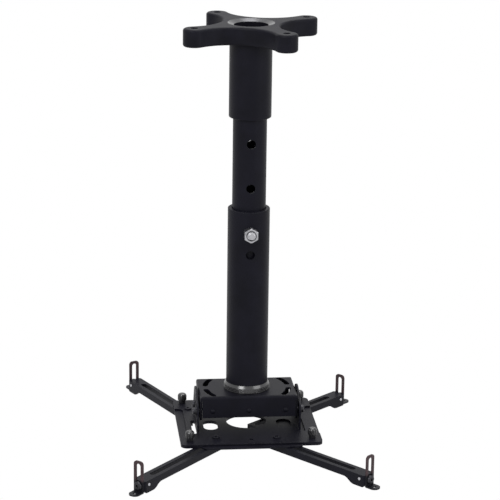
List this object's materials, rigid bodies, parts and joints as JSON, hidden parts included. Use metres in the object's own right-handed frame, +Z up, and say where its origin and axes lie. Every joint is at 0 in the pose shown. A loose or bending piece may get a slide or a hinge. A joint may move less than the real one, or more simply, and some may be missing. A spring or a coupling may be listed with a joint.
{
  "type": "projector ceiling mount",
  "caption": "Ceiling mount for a projector: cast X plate, pinned two-tube column, swivel yoke, tilting cradle, and slotted swing arms with adjustable legs.",
  "frame": {"origin": "centre of the ceiling plate's upper face, on the column's axis", "axes": "+Z up towards the ceiling, front of the bracket towards -Y, tilt pivots along X"},
  "size_m": [0.3542, 0.4424, 0.6152],
  "materials": {
    "black_paint": "satin black powder coat on steel",
    "bronze_paint": "dark bronze powder coat on steel",
    "cast_black": "black powder coat on cast aluminium, bare thread",
    "gloss_black": "glossy black",
    "black_oxide": "black oxide steel",
    "zinc": "bright zinc plate",
    "nylon": "black nylon"
  },
  "bodies": {
    "column": {"ceiling_plate": "cast_black", "upper_sleeve": "black_paint", "inner_tube": "black_paint", "lower_tube": "black_paint", "height_bolt": "zinc", "height_nut": "zinc", "lock_collar": "gloss_black", "swivel_washer": "nylon", "ring_nut": "black_oxide"},
    "yoke": {"yoke": "black_paint", "pivot_bolts": "black_oxide", "pivot_washers": "nylon", "pivot_nuts": "zinc", "tilt_lock_bolts": "black_oxide", "tilt_lock_washers": "black_oxide", "tilt_lock_nuts": "zinc"},
    "cradle": {"cradle": "black_paint", "interface_plate": "black_paint", "knob_screws": "gloss_black", "knob_spacers": "black_oxide", "clamp_bolts": "black_paint", "clamp_nuts": "zinc"},
    "clamp_front_left": {"arm_guide_front_left": "nylon"},
    "arm_front_left": {"arm_channel_front_left": "black_paint", "head_pin_front_left": "zinc", "leg_screw_front_left": "black_oxide", "leg_nut_front_left": "zinc"},
    "leg_front_left": {"leg_front_left": "bronze_paint"},
    "clamp_front_right": {"arm_guide_front_right": "nylon"},
    "arm_front_right": {"arm_channel_front_right": "black_paint", "head_pin_front_right": "zinc", "leg_screw_front_right": "black_oxide", "leg_nut_front_right": "zinc"},
    "leg_front_right": {"leg_front_right": "bronze_paint"},
    "clamp_rear_left": {"arm_guide_rear_left": "nylon"},
    "arm_rear_left": {"arm_channel_rear_left": "black_paint", "head_pin_rear_left": "zinc", "leg_screw_rear_left": "black_oxide", "leg_nut_rear_left": "zinc"},
    "leg_rear_left": {"leg_rear_left": "bronze_paint"},
    "clamp_rear_right": {"arm_guide_rear_right": "nylon"},
    "arm_rear_right": {"arm_channel_rear_right": "black_paint", "head_pin_rear_right": "zinc", "leg_screw_rear_right": "black_oxide", "leg_nut_rear_right": "zinc"},
    "leg_rear_right": {"leg_rear_right": "bronze_paint"}
  },
  "joints": [
    {"name": "swivel", "type": "hinge", "parent": "column", "child": "yoke", "pos_m": [0, 0, -0.5395], "axis": [0, 0, 1], "range_deg": [-180, 180]},
    {"name": "tilt", "type": "hinge", "parent": "yoke", "child": "cradle", "pos_m": [0, 0, -0.565], "axis": [1, 0, 0], "range_deg": [-15, 15]},
    {"name": "swing_front_left", "type": "hinge", "parent": "cradle", "child": "clamp_front_left", "pos_m": [-0.0498, -0.0655, -0.6], "axis": [0, 0, 1], "range_deg": [-12, 12]},
    {"name": "reach_front_left", "type": "slide", "parent": "clamp_front_left", "child": "arm_front_left", "axis": [-0.6481, -0.7615, 0], "range_m": [-0.025, 0.002]},
    {"name": "height_front_left", "type": "slide", "parent": "arm_front_left", "child": "leg_front_left", "axis": [0, 0, 1], "range_m": [-0.028, 0.0015]},
    {"name": "swing_front_right", "type": "hinge", "parent": "cradle", "child": "clamp_front_right", "pos_m": [0.0372, -0.0709, -0.6], "axis": [0, 0, 1], "range_deg": [-12, 12]},
    {"name": "reach_front_right", "type": "slide", "parent": "clamp_front_right", "child": "arm_front_right", "axis": [0.6494, -0.7604, 0], "range_m": [-0.02, 0.009]},
    {"name": "height_front_right", "type": "slide", "parent": "arm_front_right", "child": "leg_front_right", "axis": [0, 0, 1], "range_m": [-0.028, 0.0015]},
    {"name": "swing_rear_left", "type": "hinge", "parent": "cradle", "child": "clamp_rear_left", "pos_m": [-0.0819, 0.054, -0.6], "axis": [0, 0, 1], "range_deg": [-12, 12]},
    {"name": "reach_rear_left", "type": "slide", "parent": "clamp_rear_left", "child": "arm_rear_left", "axis": [-0.4321, 0.9018, 0], "range_m": [-0.025, 0.017]},
    {"name": "height_rear_left", "type": "slide", "parent": "arm_rear_left", "child": "leg_rear_left", "axis": [0, 0, 1], "range_m": [-0.028, 0.0015]},
    {"name": "swing_rear_right", "type": "hinge", "parent": "cradle", "child": "clamp_rear_right", "pos_m": [0.0799, 0.0551, -0.6], "axis": [0, 0, 1], "range_deg": [-7, 7]},
    {"name": "reach_rear_right", "type": "slide", "parent": "clamp_rear_right", "child": "arm_rear_right", "axis": [0.7455, 0.6665, 0], "range_m": [-0.002, 0.08]},
    {"name": "height_rear_right", "type": "slide", "parent": "arm_rear_right", "child": "leg_rear_right", "axis": [0, 0, 1], "range_m": [-0.028, 0.0015]}
  ]
}
